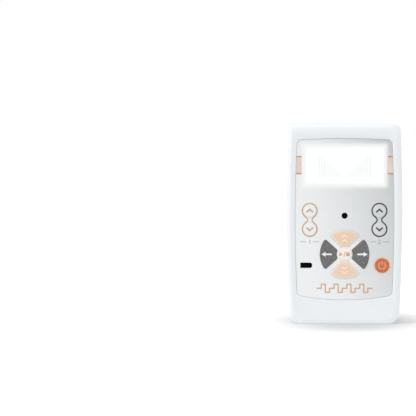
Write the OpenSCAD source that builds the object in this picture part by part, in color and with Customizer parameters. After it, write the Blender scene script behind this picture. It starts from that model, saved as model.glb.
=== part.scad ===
// Two-channel handheld nerve stimulator, standing on its lower end.
// The shapes are drawn lying on their back, face up: x to the right, y up the face
// from the lower end, z out of the face from mid depth. stand() then sets them upright,
// so the face looks along -Y and the lower end rests on the ground.

/* [Casing] */
// Overall height
body_h = 148; // [142:1:160]
// Overall width at the widest point
body_w = 85; // [82:1:95]
// Overall depth, front to back
body_d = 34; // [33.5:0.5:40]
// Narrowing of each long side towards its ends
side_bow = 1.9; // [0.5:0.1:3]
// Height of the widest point
widest_y = 85; // [74:1:90]
// Drop of the top edge towards its corners
top_bow = 0.6; // [0.2:0.1:2]
// Corner radius at the upper end
top_corner_r = 5; // [4:0.5:9]
// Corner radius at the lower end
bottom_corner_r = 9; // [6:0.5:11]
// Wall thickness
wall = 2; // [1.6:0.1:2.4]
// Depth of the rounded front rim
rim_d = 4; // [3:0.5:5]
// Width of the rounded front rim along the sides
rim_side = 5.2; // [3:0.1:5.5]
// Width of the rounded front rim along the top
rim_top = 8; // [4:0.5:9.5]
// Width of the rounded front rim along the bottom
rim_bottom = 14; // [6:0.5:16]
// Depth of the rounded back rim
back_rim_d = 5; // [3:0.5:6]
// Width of the rounded back rim
back_rim_w = 6; // [4:0.5:7]
// Depth of the groove along the seam
seam_groove = 0.4; // [0.2:0.1:0.6]
// Height of the lip that locates the two halves
lip_h = 1.5; // [1:0.1:2]

/* [Face panel] */
// Width of the face panel at its widest
panel_w = 72.6; // [68:0.2:73]
// Height of the panel's lower edge
panel_bottom = 17.9; // [17:0.1:20]
// Distance from the top of the casing to the panel
panel_from_top = 11.5; // [10:0.1:12]
// Narrowing of the panel's long sides towards their ends
panel_side_bow = 1.6; // [0:0.1:2.5]
// Drop of the panel's top edge towards its corners
panel_top_bow = 1.2; // [0:0.1:3]
// Rise of the panel's lower edge towards its corners
panel_bottom_bow = 3.4; // [0:0.1:4]
// Corner radius of the panel
panel_corner_r = 3; // [1.5:0.5:5]
// Step from the rim down to the printed film
panel_step = 0.7; // [0.5:0.1:1.2]
// Thickness of the printed film
overlay_t = 0.3; // [0.2:0.05:0.5]
// Thickness of the spacer under the film
spacer_t = 1; // [0.9:0.05:1.4]
// Thickness of the switch circuit sheet
circuit_t = 0.4; // [0.3:0.05:0.6]
// Thickness of the casing under the panel
floor_t = 1.8; // [1.4:0.1:2.4]

/* [Display] */
// Width of the display window
display_w = 60.6; // [54:0.2:62]
// Height of the display window
display_h = 29.8; // [26:0.2:31]
// Distance from the top of the casing to the middle of the window
display_from_top = 31.3; // [31:0.1:33]
// Corner radius of the window
display_corner_r = 1.5; // [0.5:0.5:3]
// Ledge that carries the edge of the window
window_ledge = 1; // [0.6:0.1:1.5]
// Margin of the display module around the window
lcd_margin = 3; // [2:0.1:3.2]
// Depth of the display module without its legs
lcd_h = 4.8; // [4:0.1:5.5]

/* [Keys] */
// Rise of a key above the film
key_rise = 0.4; // [0.2:0.05:0.5]
// Travel of a key
key_travel = 0.35; // [0.2:0.05:0.4]
// Width of the flange that holds a key under the film
key_flange = 0.45; // [0.3:0.05:0.5]
// Distance of the channel keys from the middle
channel_x = 25.6; // [25:0.1:27]
// Drop from the display window to the upper channel keys
channel_drop = 18.4; // [14:0.1:20]
// Distance between a channel's two keys
channel_pitch = 13.4; // [12.5:0.1:15]
// Diameter of a channel key
channel_key_d = 9.8; // [8:0.1:10.5]
// Drop from the display window to the middle of the menu pad
menu_drop = 50.4; // [48:0.1:53]
// Outer radius of the menu pad
menu_r = 18.1; // [16:0.1:18.5]
// Inner radius of the menu keys
menu_inner_r = 5.9; // [5.8:0.1:7]
// Gap between neighbouring menu keys, before their splay
menu_gap = 2.2; // [2:0.1:4.5]
// Splay of a menu key's sides away from its neighbours, in degrees
menu_splay = 3.5; // [0:0.5:5]
// Rounding of the menu keys' corners
menu_corner_r = 1.2; // [0.6:0.1:1.6]
// Diameter of the start and stop key
start_d = 9.6; // [8:0.1:9.7]
// Distance of the power key from the middle
power_x = 27.6; // [27:0.1:28.5]
// Drop from the display window to the power key
power_drop = 58.6; // [52:0.1:62]
// Diameter of the power key
power_d = 10.4; // [8.5:0.1:11]

/* [Lights] */
// Drop from the display window to the status light
status_drop = 22; // [20:0.1:24]
// Diameter of the status light
status_d = 4.3; // [3.6:0.1:5.5]
// Distance of the battery light from the middle
battery_light_x = 28.2; // [27:0.1:28.5]
// Drop from the display window to the battery light
battery_light_drop = 58.5; // [52:0.1:62]
// Length of the battery light
battery_light_w = 8.5; // [7:0.1:9.5]
// Width of the battery light
battery_light_h = 3.8; // [3.6:0.1:4.5]
// Diameter of the light guides
guide_d = 3; // [2.4:0.1:3.2]

/* [Sockets] */
// Distance of the output sockets from the middle
jack_x = 20; // [12:0.5:21]
// Bore of an output socket, for a 3.5 mm plug
jack_bore_d = 3.6; // [3.5:0.05:3.8]
// Depth of an output socket's bore
jack_bore_l = 14; // [12:0.5:16]
// Diameter of a socket's nose
jack_nose_d = 6.4; // [6:0.1:7]
// Depth of a socket's body
jack_h = 9; // [8:0.1:9.5]
// Width of a socket's body
jack_w = 10; // [8:0.5:12]

/* [Battery] */
// Number of round cells side by side
cells = 4; // [3:1:4]
// Diameter of a cell
cell_d = 14.5; // [10.5:0.1:14.6]
// Length of a cell with its tip
cell_l = 50.5; // [44:0.1:51]
// Length of a contact spring in use
spring_l = 4.4; // [4:0.1:5]
// Height of the battery door's lower edge
door_y = 14; // [13.5:0.1:15]
// Margin of the door past each side of the battery bay
door_side = 2.1; // [1.8:0.1:2.4]

/* [Fasteners] */
// Distance of the casing screws from the middle
screw_x = 31.5; // [31:0.1:32]
// Distance of the lower casing screws from the lower end
screw_from_end = 9; // [8.5:0.1:9.5]
// Diameter of a casing screw
screw_d = 2.5; // [2.2:0.1:2.9]
// Diameter of a casing screw's head
screw_head_d = 5.4; // [4.8:0.1:5.6]

/* [Hidden] */
$fn = 64;
corner_steps = 10;
edge_steps = 8;
rim_steps = 8;
rim_corner = 1;
least_corner_r = 1;

// Clearances
panel_gap = 0.15;
key_gap = 0.12;
key_lift = 0.05;
part_gap = 0.1;
hole_gap = 0.3;
door_gap = 0.25;
lip_gap = 0.1;

// Thicknesses and gaps that set the levels
board_t = 1.6;
board_gap = 1.1;
door_t = wall;
cell_gap = 0.3;
bay_floor_t = 1.2;

// Levels through the depth
front_z = body_d / 2;
back_z = -body_d / 2;
overlay_top = front_z - panel_step;
overlay_z = overlay_top - overlay_t;
spacer_z = overlay_z - spacer_t;
recess_z = spacer_z - circuit_t;
ceiling_z = recess_z - floor_t;
lcd_top = ceiling_z - part_gap;
bay_top = back_z + door_t + 2 * cell_gap + cell_d + cell_gap;
board_z = bay_top + bay_floor_t + board_gap;
board_top = board_z + board_t;
jack_z = board_z - jack_h / 2;
seam_z = jack_z;

// Places on the face
panel_top = body_h - panel_from_top;
display_y = body_h - display_from_top;
display_bottom = display_y - display_h / 2;
channel_up_y = display_bottom - channel_drop;
channel_down_y = channel_up_y - channel_pitch;
menu_y = display_bottom - menu_drop;
power_y = display_bottom - power_drop;
status_y = display_bottom - status_drop;
battery_light_y = display_bottom - battery_light_drop;
window = [display_w, display_h];
lcd_size = [display_w + 2 * lcd_margin, display_h + 2 * lcd_margin];
lcd_y0 = display_y - lcd_size.y / 2;
lcd_y1 = display_y + lcd_size.y / 2;

// Key table: node name, place, outline and turn
KEYS = [
    ["channel_1_up_key", [-channel_x, channel_up_y], "channel", 0],
    ["channel_1_down_key", [-channel_x, channel_down_y], "channel", 0],
    ["channel_2_up_key", [channel_x, channel_up_y], "channel", 0],
    ["channel_2_down_key", [channel_x, channel_down_y], "channel", 0],
    ["menu_up_key", [0, menu_y], "menu", 0],
    ["menu_down_key", [0, menu_y], "menu", 180],
    ["back_key", [0, menu_y], "menu", 90],
    ["next_key", [0, menu_y], "menu", 270],
    ["start_stop_key", [0, menu_y], "start", 0],
    ["power_key", [power_x, power_y], "power", 0],
];
key_flange_t = 0.3;
key_top = overlay_top + key_rise;
key_flange_z = overlay_z - key_lift - key_flange_t;
key_edge = 0.18;
dome_r = 3.5;
dome_top_r = 1.5;
dome_t = 0.1;
dome_rise = key_flange_z - key_travel - key_lift - spacer_z;
menu_dome_r = (menu_r + menu_inner_r) / 2;

// Battery bay
bay_wall = 1.5;
contact_t = 0.5;
contact_size = 11;
leg_w = 3;
door_below = 3.1;
door_above = 4;
door_corner_r = 3;
ledge_t = 1.5;
bay_hw = cells * (cell_d + cell_gap) / 2 + cell_gap;
bay_y0 = door_y + door_below;
bay_y1 = bay_y0 + cell_l + spring_l + 2 * contact_t;
door_hw = bay_hw + door_side;
door_y1 = bay_y1 + door_above;
cell_z = back_z + door_t + 2 * cell_gap + cell_d / 2;
tab_x = 16;
tab_w = 8;
tab_reach = 2.5;
tab_t = 1.4;
tab_lift = 0.2;
tab_root = 3;
thumb_r = 8;
thumb_in = 3;
thumb_out = 4;
grip_lines = 4;
grip_w = 18;
grip_below = 12;
grip_pitch = 2.4;
grip_r = 1;
grip_out = 0.6;
frame_w = 2.5;
tip_d = 5.5;
tip_l = 1;

// Spring of the battery contacts
spring_r = 3.6;
spring_wire = 0.7;
spring_turns = 3;
spring_rings = 8;
spring_sides = 6;
spring_clear = 0.05;
spring_pitch = (spring_l - spring_wire - 2 * spring_clear) / spring_turns;
echo(spring_least_gap = spring_pitch - spring_wire);

// Board, bosses and screws
board_side_gap = 0.6;
board_end_gap = 3;
side_lean = 2 * widest_y / body_h - 1;
board_hw = body_w / 2 - side_bow * pow(1 + side_lean, 2) - wall - board_side_gap;
board_y0 = wall + board_end_gap;
board_y1 = body_h - wall - board_end_gap;
boss_d = 8;
post_d = 5.5;
post_edge = 2.5;
post_gap = 1;
post_low_x = 20;
post_screw_d = 2;
post_screw_l = 5;
post_head_d = 4;
post_head_h = 1.6;
post_places = [
    [post_low_x, board_y0 + post_d],
    [board_hw - post_edge, lcd_y0 - post_d - post_gap],
];
screw_seat = 2.5;
screw_bite = 8;
screw_ys = [screw_from_end, lcd_y1 + boss_d / 2 + hole_gap];
screw_clear = 0.05;
head_h = 2;
pocket_clear = 0.4;
pocket_d = screw_head_d + 2 * pocket_clear;
slot_w = 0.7;
slot_d = 0.8;

// Switch tail
tail_w = 12;
tail_t = 0.3;
tail_slot = 2;
tail_below_lcd = 4.8;
tail_run = 6;
tail_lift = 1.4;
tail_root = 1.2;
tail_y = lcd_y0 - tail_below_lcd;
tail_plug_y = tail_y - tail_run;
tail_plug_z = board_top + tail_lift;
tail_bend_r = 1.5;

// Outlines

function arc(c, r, a0, a1, n) =
    [for (i = [0:n]) let (a = a0 + (a1 - a0) * i / n) c + r * [cos(a), sin(a)]];

function between(p, q, n) = [for (i = [1:n - 1]) p + (q - p) * i / n];

// Rounded rectangle from the lower left corner, counter-clockwise, with its edges bowed outwards;
// lean lifts the widest point above the middle
function bowed_rect(hw, y0, y1, r0, r1, side, top, bottom, lean = 0) =
    let (
        straight = concat(
            arc([-hw + r0, y0 + r0], r0, 180, 270, corner_steps),
            between([-hw + r0, y0], [hw - r0, y0], edge_steps),
            arc([hw - r0, y0 + r0], r0, 270, 360, corner_steps),
            between([hw, y0 + r0], [hw, y1 - r1], edge_steps),
            arc([hw - r1, y1 - r1], r1, 0, 90, corner_steps),
            between([hw - r1, y1], [-hw + r1, y1], edge_steps),
            arc([-hw + r1, y1 - r1], r1, 90, 180, corner_steps),
            between([-hw, y1 - r1], [-hw, y0 + r0], edge_steps)
        )
    )
    [for (p = straight)
        let (v = (2 * p.y - y0 - y1) / (y1 - y0), u = p.x / hw)
        [p.x - side * u * pow(v - lean, 2), p.y + (v > 0 ? -top : bottom) * u * u * v * v]];

// Casing outline, drawn in from its sides, top and bottom
function casing_ring(side, top, bottom, r0, r1) =
    bowed_rect(body_w / 2 - side, bottom, body_h - top, r0, r1, side_bow, top_bow, 0, side_lean);

function inset_ring(t) =
    casing_ring(t, t, t, max(bottom_corner_r - t, least_corner_r), max(top_corner_r - t, least_corner_r));

// Casing outline part of the way across the rounded front rim
function rim_ring(u) =
    let (corner = panel_corner_r + rim_corner)
    casing_ring(u * rim_side, u * rim_top, u * rim_bottom,
        bottom_corner_r + u * (corner - bottom_corner_r),
        top_corner_r + u * (corner - top_corner_r));

function panel_points(grow) =
    bowed_rect(panel_w / 2 + grow, panel_bottom - grow, panel_top + grow,
        panel_corner_r + grow, panel_corner_r + grow,
        panel_side_bow, panel_top_bow, panel_bottom_bow);

// Solid through a stack of rings with equal numbers of points, from back to front
module loft(rings, levels) {
    n = len(rings[0]);
    last = len(rings) - 1;
    points = [for (i = [0:last]) for (p = rings[i]) [p.x, p.y, levels[i]]];
    back = [[for (j = [0:n - 1]) j]];
    front = [[for (j = [0:n - 1]) last * n + n - 1 - j]];
    sides = [for (i = [0:last - 1]) for (j = [0:n - 1])
        let (a = i * n + j, b = i * n + (j + 1) % n)
        each [[a, a + n, b + n], [a, b + n, b]]];
    polyhedron(points, concat(back, sides, front));
}

// Closed tube along a list of points
module tube(path, d, sides) {
    last = len(path) - 1;
    rings = [for (i = [0:last])
        let (
            t = path[min(i + 1, last)] - path[max(i - 1, 0)],
            tangent = t / norm(t),
            s = cross([0, 0, 1], tangent),
            across = s / norm(s),
            up = cross(tangent, across)
        )
        [for (j = [0:sides - 1])
            let (a = 360 * j / sides)
            path[i] + d / 2 * (cos(a) * across + sin(a) * up)]];
    points = [for (r = rings) each r];
    caps = [[for (j = [0:sides - 1]) sides - 1 - j], [for (j = [0:sides - 1]) last * sides + j]];
    walls = [for (i = [0:last - 1]) for (j = [0:sides - 1])
        let (a = i * sides + j, b = i * sides + (j + 1) % sides)
        each [[a, b, b + sides], [a, b + sides, a + sides]]];
    polyhedron(points, [for (f = concat(caps, walls)) [for (k = [len(f) - 1:-1:0]) f[k]]]);
}

// Sets the lying unit upright on its lower end
module stand() {
    rotate([90, 0, 0]) children();
}

module rounded_square(size, r) {
    square([size.x - 2 * r, size.y], center = true);
    square([size.x, size.y - 2 * r], center = true);
    for (x = [-1, 1]) for (y = [-1, 1])
        translate([x * (size.x / 2 - r), y * (size.y / 2 - r)]) circle(r);
}

module block(x, y, z) {
    translate([x[0], y[0], z[0]]) cube([x[1] - x[0], y[1] - y[0], z[1] - z[0]]);
}

module post(p, d, z) {
    translate([p.x, p.y, z[0]]) cylinder(d = d, h = z[1] - z[0]);
}

module at_screws() {
    for (x = [-screw_x, screw_x]) for (y = screw_ys) translate([x, y, 0]) children();
}

module at_posts() {
    for (side = [-1, 1]) for (p = post_places) translate([side * p.x, p.y, 0]) children();
}

module at_jacks() {
    for (x = [-jack_x, jack_x]) translate([x, 0, jack_z]) children();
}

module along_y(y) {
    translate([0, y[0], 0]) rotate([-90, 0, 0]) cylinder(d = $d, h = y[1] - y[0]);
}

// Key outlines

module menu_key_outline() {
    half = 45 - menu_splay;
    edge = menu_gap / 2 / sin(half);
    reach = 2 * menu_r;
    offset(r = menu_corner_r) offset(delta = -menu_corner_r) difference() {
        intersection() {
            circle(menu_r);
            polygon([[0, edge], [reach * tan(half), reach + edge], [-reach * tan(half), reach + edge]]);
        }
        circle(menu_inner_r);
    }
}

function round_key_d(kind) =
    kind == "channel" ? channel_key_d : kind == "start" ? start_d : power_d;

module key_outline(key, grow) {
    translate(key[1]) rotate(key[3])
        if (key[2] == "menu") offset(delta = grow) menu_key_outline();
        else circle(d = round_key_d(key[2]) + 2 * grow);
}

module all_keys(grow) {
    for (key = KEYS) key_outline(key, grow);
}

module battery_light_outline(grow) {
    tip = battery_light_h / 2;
    translate([-battery_light_x, battery_light_y]) offset(delta = grow) polygon([
        [-battery_light_w / 2, -tip], [battery_light_w / 2 - tip / 2, -tip],
        [battery_light_w / 2, -tip / 2], [battery_light_w / 2, tip / 2],
        [battery_light_w / 2 - tip / 2, tip], [-battery_light_w / 2, tip]]);
}

module guide_places() {
    translate([0, status_y]) children();
    translate([-battery_light_x, battery_light_y]) children();
}

module window_outline(grow) {
    translate([0, display_y])
        rounded_square(window + 2 * grow * [1, 1], display_corner_r + grow);
}

// Sheet of the panel stack, with the window cut out
module panel_sheet(z, t, grow) {
    translate([0, 0, z]) linear_extrude(t) difference() {
        polygon(panel_points(grow));
        window_outline(panel_gap);
        children();
    }
}

// Casing halves

module front_casing() {
    angles = [for (i = [0:rim_steps]) 90 * i / rim_steps];
    outer = concat([inset_ring(seam_groove), inset_ring(0)], [for (a = angles) rim_ring(1 - cos(a))]);
    levels = concat([seam_z, seam_z + seam_groove], [for (a = angles) front_z - rim_d + rim_d * sin(a)]);
    thin = wall / 2;
    step_z = seam_z + lip_h + lip_gap;
    color("white") stand() difference() {
        union() {
            difference() {
                loft(outer, levels);
                loft([inset_ring(thin), inset_ring(thin)], [seam_z - 1, step_z]);
                loft([inset_ring(wall), inset_ring(wall)], [seam_z - 1, ceiling_z]);
            }
            at_screws() post([0, 0], boss_d, [seam_z, ceiling_z + part_gap]);
            at_posts() post([0, 0], post_d, [board_top, ceiling_z + part_gap]);
        }
        at_screws() post([0, 0], screw_d + 2 * screw_clear, [seam_z - 1, seam_z + screw_bite + 1]);
        at_posts() post([0, 0], post_screw_d + 2 * screw_clear,
            [board_top - 1, board_top + post_screw_l + 1]);
        translate([0, 0, recess_z]) linear_extrude(body_d) polygon(panel_points(panel_gap));
        translate([0, 0, ceiling_z - 1]) linear_extrude(body_d) window_outline(-window_ledge);
        guide_places() post([0, 0], guide_d + 2 * part_gap, [ceiling_z - 1, front_z]);
        block([-tail_w / 2 - hole_gap, tail_w / 2 + hole_gap],
            [tail_y - tail_slot / 2, tail_y + tail_slot / 2], [ceiling_z - 1, front_z]);
        at_jacks() along_y([body_h - 3 * wall, body_h + 1], $d = jack_nose_d + 2 * part_gap);
    }
}

module rear_casing() {
    angles = [for (i = [rim_steps:-1:0]) 90 * i / rim_steps];
    round_w = back_rim_w - wall;
    round_d = back_rim_d - wall;
    outer = concat(
        [for (a = angles) inset_ring(back_rim_w * (1 - cos(a)))],
        [inset_ring(0), inset_ring(seam_groove),
            inset_ring(wall / 2 + lip_gap), inset_ring(wall / 2 + lip_gap)]);
    levels = concat(
        [for (a = angles) back_z + back_rim_d * (1 - sin(a))],
        [seam_z - seam_groove, seam_z, seam_z, seam_z + lip_h]);
    inner = concat([for (a = angles) inset_ring(back_rim_w - round_w * cos(a))], [inset_ring(wall)]);
    inner_levels = concat([for (a = angles) back_z + back_rim_d - round_d * sin(a)], [seam_z + lip_h + 1]);
    frame_z = back_z + door_t;
    color("white") stand() difference() {
        union() {
            difference() {
                loft(outer, levels);
                loft(inner, inner_levels);
            }
            block([-door_hw - frame_w, door_hw + frame_w], [door_y - frame_w, door_y1 + frame_w],
                [frame_z - part_gap, frame_z + ledge_t]);
            block([-bay_hw - bay_wall, bay_hw + bay_wall], [bay_y0 - bay_wall, bay_y1 + bay_wall],
                [frame_z, bay_top + bay_floor_t]);
            at_screws() post([0, 0], boss_d, [back_z + wall - part_gap, seam_z]);
        }
        block([-bay_hw, bay_hw], [bay_y0, bay_y1], [back_z - 1, bay_top]);
        door_outline(back_z - 1, frame_z, door_gap);
        for (x = [-tab_x, tab_x])
            block([x - tab_w / 2 - hole_gap, x + tab_w / 2 + hole_gap],
                [door_y - tab_reach - hole_gap, bay_y0 + 1],
                [frame_z, frame_z + ledge_t + tab_t + hole_gap]);
        contact_legs(part_gap);
        at_screws() post([0, 0], pocket_d, [back_z - 1, seam_z - screw_seat]);
        at_screws() post([0, 0], screw_d + 2 * hole_gap, [back_z, seam_z + 1]);
        at_jacks() along_y([body_h - 3 * wall, body_h + 1], $d = jack_nose_d + 2 * part_gap);
    }
}

module door_outline(z0, z1, grow) {
    translate([0, (door_y + door_y1) / 2, z0]) linear_extrude(z1 - z0)
        rounded_square([2 * (door_hw + grow), door_y1 - door_y + 2 * grow], door_corner_r);
}

module battery_door() {
    inner_z = back_z + door_t - part_gap;
    color("white") stand() {
        difference() {
            union() {
                door_outline(back_z, inner_z, 0);
                for (x = [-tab_x, tab_x])
                    block([x - tab_w / 2, x + tab_w / 2], [door_y - tab_reach, door_y + tab_root],
                        [back_z + door_t + tab_lift, back_z + door_t + tab_lift + tab_t]);
                for (x = [-tab_x, tab_x])
                    block([x - tab_w / 2, x + tab_w / 2], [door_y + door_gap, door_y + tab_root],
                        [inner_z - part_gap, back_z + door_t + tab_lift + tab_t]);
            }
            translate([0, door_y1 + thumb_in, back_z - thumb_out]) sphere(r = thumb_r);
            for (i = [0:grip_lines - 1])
                translate([-grip_w / 2, door_y1 - grip_below - grip_pitch * i, back_z - grip_out])
                    rotate([0, 90, 0]) cylinder(r = grip_r, h = grip_w);
        }
    }
}

// Face panel and keys

module keypad_overlay() {
    color("gainsboro") stand() panel_sheet(overlay_z, overlay_t, 0) {
        all_keys(key_gap);
        translate([0, status_y]) circle(d = status_d + 2 * part_gap);
        battery_light_outline(part_gap);
    }
}

module key_spacer() {
    color("whitesmoke") stand() panel_sheet(spacer_z, spacer_t, 0) {
        all_keys(key_flange + key_gap);
        guide_places() circle(d = guide_d + 2 * part_gap);
        translate([0, status_y]) circle(d = status_d + 2 * part_gap);
        battery_light_outline(part_gap);
    }
}

module switch_circuit() {
    color("darkseagreen") stand() {
        panel_sheet(recess_z, circuit_t, 0) {
            guide_places() circle(d = guide_d + 2 * part_gap);
            translate([0, tail_y - tail_t])
                square([tail_w + 2 * hole_gap, tail_root + tail_t / 2], center = true);
        }
        switch_tail();
    }
}

// Flat tail that drops through the casing and turns into its socket on the board
module switch_tail() {
    r = tail_bend_r;
    top = recess_z + tail_t;
    translate([-tail_w / 2, 0, 0]) rotate([90, 0, 90]) linear_extrude(tail_w) {
        translate([tail_y - tail_t / 2, tail_plug_z + r]) square([tail_t, top - tail_plug_z - r]);
        translate([tail_y - tail_t / 2, recess_z]) square([tail_root, tail_t]);
        translate([tail_plug_y, tail_plug_z - tail_t / 2]) square([tail_y - r - tail_plug_y, tail_t]);
        translate([tail_y - r, tail_plug_z + r]) intersection() {
            difference() {
                circle(r + tail_t / 2);
                circle(r - tail_t / 2);
            }
            translate([0, -2 * r]) square(2 * r);
        }
    }
}

// Stamped disc with a flat top and a sloping skirt
module snap_dome(p) {
    translate([p.x, p.y, spacer_z]) rotate_extrude() polygon([
        [0, dome_rise - dome_t], [dome_top_r, dome_rise - dome_t], [dome_r - dome_t, 0],
        [dome_r, 0], [dome_r, dome_t], [dome_top_r, dome_rise], [0, dome_rise]]);
}

module snap_domes() {
    color("silver") stand() for (key = KEYS)
        snap_dome(key[2] == "menu" ? key[1] + menu_dome_r * [-sin(key[3]), cos(key[3])] : key[1]);
}

function key_colour(key) =
    key[2] == "menu" ? (key[3] % 180 == 0 ? "peachpuff" : "dimgray") :
    key[2] == "power" ? "coral" : "whitesmoke";

module key_pad(key) {
    color(key_colour(key)) stand() {
        translate([0, 0, key_flange_z]) linear_extrude(key_flange_t) key_outline(key, key_flange);
        translate([0, 0, key_flange_z]) linear_extrude(key_top - key_edge - key_flange_z)
            key_outline(key, 0);
        translate([0, 0, key_flange_z]) linear_extrude(key_top - key_flange_z) key_outline(key, -key_edge);
    }
}

module light_guide() {
    stem_z = board_top + led_t + hole_gap;
    stand() {
        translate([0, 0, recess_z + circuit_t + part_gap])
            linear_extrude(overlay_top - recess_z - circuit_t - part_gap) children(0);
        translate([0, 0, stem_z]) linear_extrude(overlay_z - stem_z) children(1);
    }
}

module status_light() {
    color("black") light_guide() {
        translate([0, status_y]) circle(d = status_d);
        translate([0, status_y]) circle(d = guide_d);
    }
}

module battery_light() {
    color("black") light_guide() {
        battery_light_outline(0);
        translate([-battery_light_x, battery_light_y]) circle(d = guide_d);
    }
}

// Display

lcd_sheet = 0.6;
lcd_glass_t = 2;
strip_w = 2;
lcd_inside = lcd_size - 2 * (lcd_sheet + part_gap) * [1, 1];
lcd_z = lcd_top - lcd_h;
light_panel_t = lcd_h - lcd_sheet - 2 * part_gap - lcd_glass_t;
glass_z = lcd_z + light_panel_t + part_gap;
lcd_leg_w = 5;

module display_window() {
    color("white", 0.4) stand()
        translate([0, 0, recess_z]) linear_extrude(overlay_top - recess_z) window_outline(0);
}

// Sheet-metal frame whose corner legs stand on the board
module lcd_frame() {
    color("silver") stand() translate([0, display_y, 0]) {
        difference() {
            translate([0, 0, lcd_z]) linear_extrude(lcd_h) square(lcd_size, center = true);
            translate([0, 0, lcd_z - 1]) linear_extrude(lcd_h - lcd_sheet + 1)
                square(lcd_size - 2 * lcd_sheet * [1, 1], center = true);
            translate([0, 0, lcd_z]) linear_extrude(lcd_h + 1) square(window, center = true);
        }
        for (x = [-1, 1]) for (y = [-1, 1])
            translate([x * (lcd_size.x - lcd_leg_w) / 2, y * (lcd_size.y - lcd_sheet) / 2, board_top])
                linear_extrude(lcd_z - board_top + part_gap) square([lcd_leg_w, lcd_sheet], center = true);
    }
}

module lcd_glass() {
    color("aliceblue") stand() translate([0, display_y, glass_z])
        linear_extrude(lcd_glass_t) square(lcd_inside, center = true);
}

module lcd_backlight() {
    color("ivory") stand() translate([0, display_y, lcd_z])
        linear_extrude(light_panel_t) square(lcd_inside - [0, 2 * (strip_w + 2 * part_gap)], center = true);
}

// Springy strips that join the glass to the board along its long edges
module lcd_contact_strips() {
    color("slategray") stand() for (side = [-1, 1])
        translate([0, display_y + side * (lcd_inside.y - strip_w) / 2, board_top])
            linear_extrude(glass_z - board_top) square([lcd_inside.x, strip_w], center = true);
}

// Board and what it carries

led_t = 1.6;
led_size = 3;
socket_size = [16, 5, 2.6];
socket_plug = 2;
chip_size = [12, 12, 1.6];
chip_gap = 2;
driver_size = [6, 5, 1.6];
driver_gap = 2.5;
coil_size = [15, 17, 11];
coil_gap = 1.5;
core_flange = 2.5;
core_t = 2;
winding_w = 2.6;
cap_d = 8;
cap_h = 10;
cap_gap = 2;
buzzer_d = 12;
buzzer_h = 6;
buzzer_hole_d = 2;
buzzer_gap = 1;
jack_back = 1.5;
jack_end = body_h - jack_bore_l - jack_back - top_bow;
coil_x = cap_d + cap_gap / 2 + coil_size.x / 2 + part_gap;
coil_y = jack_end - coil_gap - coil_size.y / 2;
driver_y = coil_y - coil_size.y / 2 - driver_gap - driver_size.y / 2;
buzzer_y = bay_y1 + bay_wall + buzzer_gap + buzzer_d / 2;

module main_board() {
    color("darkgreen") stand() difference() {
        block([-board_hw, board_hw], [board_y0, board_y1], [board_z, board_top]);
        at_screws() post([0, 0], boss_d + 2 * hole_gap, [board_z - 1, board_top + 1]);
        for (side = [-1, 1]) for (y = [[board_y0 - 1, screw_ys[0]], [screw_ys[1], board_y1 + 1]])
            scale([side, 1, 1]) block([screw_x, board_hw + 1], y, [board_z - 1, board_top + 1]);
        at_posts() post([0, 0], post_screw_d + 2 * hole_gap, [board_z - 1, board_top + 1]);
    }
}

module indicator_leds() {
    color("ivory") stand() guide_places()
        translate([0, 0, board_top + led_t / 2]) cube([led_size, led_size, led_t], center = true);
}

module tail_socket() {
    color("ivory") stand() difference() {
        block([-socket_size.x / 2, socket_size.x / 2],
            [tail_plug_y + socket_plug - socket_size.y, tail_plug_y + socket_plug],
            [board_top, board_top + socket_size.z]);
        block([-tail_w / 2 - part_gap, tail_w / 2 + part_gap],
            [tail_plug_y - part_gap, tail_plug_y + socket_size.y],
            [tail_plug_z - tail_t, tail_plug_z + tail_t]);
    }
}

module controller_chip() {
    y = status_y - led_size / 2 - chip_gap - chip_size.y / 2;
    color("black") stand() translate([0, y, board_top + chip_size.z / 2]) cube(chip_size, center = true);
}

module driver_chips() {
    color("black") stand() for (x = [-coil_x, coil_x])
        translate([x, driver_y, board_z - driver_size.z / 2]) cube(driver_size, center = true);
}

// Pulse transformer: two windings between the legs of its core
module pulse_transformer() {
    core_l = coil_size.y - 2 * core_flange;
    winding_h = coil_size.z - 2 * core_t;
    window_w = winding_w + 2 * part_gap;
    translate([0, 0, -coil_size.z]) {
        difference() {
            translate([-coil_size.x / 2, -core_l / 2, 0]) cube([coil_size.x, core_l, coil_size.z]);
            for (x = [-1, 1])
                translate([x * coil_size.x / 4 - window_w / 2, -coil_size.y, core_t])
                    cube([window_w, 2 * coil_size.y, winding_h]);
        }
        for (x = [-1, 1])
            translate([x * coil_size.x / 4 - winding_w / 2, -coil_size.y / 2, core_t + part_gap])
                cube([winding_w, coil_size.y, winding_h - 2 * part_gap]);
    }
}

module output_transformers() {
    color("goldenrod") stand() for (x = [-coil_x, coil_x])
        translate([x, coil_y, board_z]) pulse_transformer();
}

module capacitors() {
    color("midnightblue") stand() for (side = [-1, 1])
        translate([side * (cap_d + cap_gap) / 2, coil_y, board_z - cap_h]) cylinder(d = cap_d, h = cap_h);
}

module buzzer() {
    color("black") stand() translate([0, buzzer_y, board_z - buzzer_h]) difference() {
        cylinder(d = buzzer_d, h = buzzer_h);
        translate([0, 0, -1]) cylinder(d = buzzer_hole_d, h = 1 + buzzer_h / 2);
    }
}

module output_jack(x) {
    wall_y = body_h - wall - top_bow;
    nose_y = body_h - top_bow * pow(2 * x / body_w, 2) - part_gap;
    color("black") stand() translate([x, 0, jack_z]) difference() {
        union() {
            block([-jack_w / 2, jack_w / 2], [nose_y - jack_bore_l - jack_back, wall_y - part_gap],
                [-jack_h / 2, jack_h / 2]);
            along_y([wall_y - 1, nose_y], $d = jack_nose_d);
        }
        along_y([nose_y - jack_bore_l, nose_y + 1], $d = jack_bore_d);
    }
}

// Battery

function cell_x(i) = (i - (cells - 1) / 2) * (cell_d + cell_gap);

// Turns what is drawn at the lower end of the bay to the upper end for every other cell
module at_cells() {
    for (i = [0:cells - 1])
        translate([cell_x(i), (bay_y0 + bay_y1) / 2, cell_z]) rotate(i % 2 * 180)
            translate([0, (bay_y0 - bay_y1) / 2, 0]) children();
}

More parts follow.
